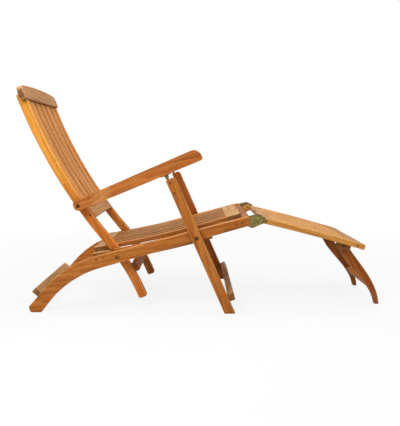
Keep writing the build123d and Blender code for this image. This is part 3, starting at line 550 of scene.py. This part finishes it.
for number, (body, (cut, stem, spots)) in enumerate(plugSpots.items(), boards + 1):
    places = []
    for side, sign in (("right", -1), ("left", 1)):
        for first, second in spots:
            if body == "arms":
                start, way = (first, second * sign, plugLook["above"]), (0, 0, -1)
            else:
                start, way = (first, plugLook["beside"] * sign, second), (0, -sign, 0)
            places.append(metAt(f"{stem}_{side}", start, way))
    wood = teak("teak.plugs." + body, cut, "across", number, plugLook["shade"])
    plugs = turnOut("plugs." + body, places, {**plugHead, "Material": wood})
    fitPiece("plugs." + body, [plugs], body, "teak_frame")

# heads on the arms' hinge pins, and rivets through the legs' outer faces
rivetLook = {"least": 1.5e-5, "outside": 0.280}
rivetHead = {**boltHead, "Shank radius": 0.0024, "Shank length": 0.004, "Head radius": 0.0042, "Rim": 0.0003,
             "Rise": 0.0011, "Seed": 19}
pinHead = {**rivetHead, "Head radius": 0.0078, "Rim": 0.0006, "Rise": 0.0012, "Material": brasses["plates"]}
rivetEnds = [(place, facing) for place, facing in flatFaces("leg_tongue_pins", rivetLook["least"])
             if facing.y * place.y > 0 and abs(place.y) > rivetLook["outside"]]
pinEnds = flatFaces("arm_hinge_pins", rivetLook["least"])
fitPiece("hinge_pin_heads", [turnOut("hinge_pin_heads", pinEnds, pinHead)], "arms", "brass_fittings")
fitPiece("leg_rivets", [turnOut("leg_rivets", rivetEnds, rivetHead)], "front_legs", "brass_bolts")
print("fasteners and plugs fitted")


# one where the ground is seen, straight on or in a reflection, and nothing where it only gives light
def seenRays(tree):
    path = addNode(tree, "ShaderNodeLightPath").outputs
    mirrored = sums(tree, "MAXIMUM", path["Is Glossy Ray"], path["Is Transmission Ray"])
    return sums(tree, "MAXIMUM", path["Is Camera Ray"], mirrored)


# floor, white where it is seen and shaded softly under the chair
floorLook = {"size": 30.0, "white": 0.72, "keepWhite": 0.86, "fadeFrom": 1.1, "fadeTo": 2.2}
floorMesh = bpy.data.meshes.new("floor")
half = floorLook["size"] / 2
floorMesh.from_pydata([(-half, -half, 0), (half, -half, 0), (half, half, 0), (-half, half, 0)], [],
                      [(0, 1, 2, 3)])
floor = bpy.data.objects.new("floor", floorMesh)
scene.collection.objects.link(floor)
floorMaterial, tree = newMaterial("floor")
matt = addNode(tree, "ShaderNodeBsdfDiffuse", {"Color": (floorLook["white"],) * 3 + (1,)})
glow = addNode(tree, "ShaderNodeEmission", {"Color": (1, 1, 1, 1), "Strength": 1.0})
seen = seenRays(tree)
spot = addNode(tree, "ShaderNodeTexCoord")
reach = addNode(tree, "ShaderNodeVectorMath", {0: spot.outputs["Object"]}, operation="LENGTH")
white = addNode(tree, "ShaderNodeMapRange", {"Value": reach.outputs["Value"],
                                             "From Min": floorLook["fadeFrom"],
                                             "From Max": floorLook["fadeTo"],
                                             "To Min": floorLook["keepWhite"], "To Max": 1.0})
blend = addNode(tree, "ShaderNodeMixShader", {0: sums(tree, "MULTIPLY", seen, white.outputs[0]),
                                              1: matt.outputs[0], 2: glow.outputs[0]})
addNode(tree, "ShaderNodeOutputMaterial", {"Surface": blend.outputs[0]})
floorMesh.materials.append(floorMaterial)

# white all round where it is seen, a plain grey for the light it gives
worldLook = {"light": 0.26}
world = bpy.data.worlds.new("studio")
world.use_nodes = True
scene.world = world
tree = world.node_tree
tree.nodes.clear()
strength = addNode(tree, "ShaderNodeMapRange", {"Value": seenRays(tree), "To Min": worldLook["light"],
                                                "To Max": 1.0})
sky = addNode(tree, "ShaderNodeBackground", {"Color": (1, 1, 1, 1), "Strength": strength.outputs[0]})
addNode(tree, "ShaderNodeOutputWorld", {"Surface": sky.outputs[0]})

lamps = {
    "keyLamp": {"place": (-0.9, -1.5, 2.1), "aim": (-0.1, 0, 0.35), "size": 1.2, "power": 44},
    "fillLamp": {"place": (2.2, -2.3, 1.3), "aim": (0.1, 0, 0.4), "size": 2.0, "power": 20},
    "topLamp": {"place": (0.1, 0.3, 2.8), "aim": (0, 0, 0.3), "size": 1.8, "power": 50},
}
for name, look in lamps.items():
    lamp = bpy.data.lights.new(name, "AREA")
    lamp.energy = look["power"]
    lamp.size = look["size"]
    holder = bpy.data.objects.new(name, lamp)
    holder.location = look["place"]
    holder.rotation_euler = (Vector(look["aim"]) - Vector(look["place"])).to_track_quat("-Z", "Y").to_euler()
    scene.collection.objects.link(holder)
print("floor, world and lamps set")

cameraLook = {"place": (-0.0445, -2.208, 0.678), "pitchDown": 7.53, "turnRight": 0.58, "focalPixels": 480.5,
              "frameWidth": 400, "sensor": 36}
lens = bpy.data.cameras.new("camera")
lens.sensor_fit = "HORIZONTAL"
lens.sensor_width = cameraLook["sensor"]
lens.lens = cameraLook["sensor"] * cameraLook["focalPixels"] / cameraLook["frameWidth"]
camera = bpy.data.objects.new("camera", lens)
camera.location = cameraLook["place"]
tilt, turn = math.radians(90 - cameraLook["pitchDown"]), math.radians(-cameraLook["turnRight"])
camera.rotation_euler = (tilt, 0, turn)
scene.collection.objects.link(camera)
scene.camera = camera
print("camera set")
